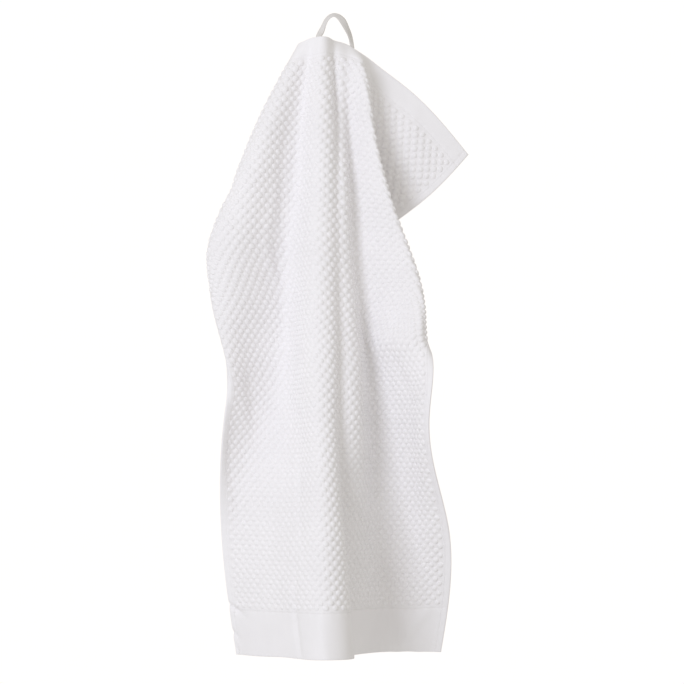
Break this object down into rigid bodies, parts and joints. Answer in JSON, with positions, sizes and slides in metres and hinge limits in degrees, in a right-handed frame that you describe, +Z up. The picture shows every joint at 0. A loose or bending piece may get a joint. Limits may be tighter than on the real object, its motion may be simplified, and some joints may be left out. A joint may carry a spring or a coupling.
{
  "type": "hand towel",
  "caption": "White cotton hand towel with raised pips and a plain bottom band, hanging in loose folds by its sewn tape loop.",
  "frame": {"origin": "inside top of the hanging loop, where a hook carries it", "axes": "+Z up along the hanging cloth, +Y from the viewer towards what the towel hangs on, +X to the viewer's right"},
  "size_m": [0.2959, 0.169, 0.7276],
  "materials": {
    "towel_cotton": "matt white cotton with woven pips",
    "loop_tape": "matt white woven cotton tape"
  },
  "bodies": {
    "root": {"towel_cloth": "towel_cotton", "hanging_loop": "loop_tape"}
  },
  "joints": []
}
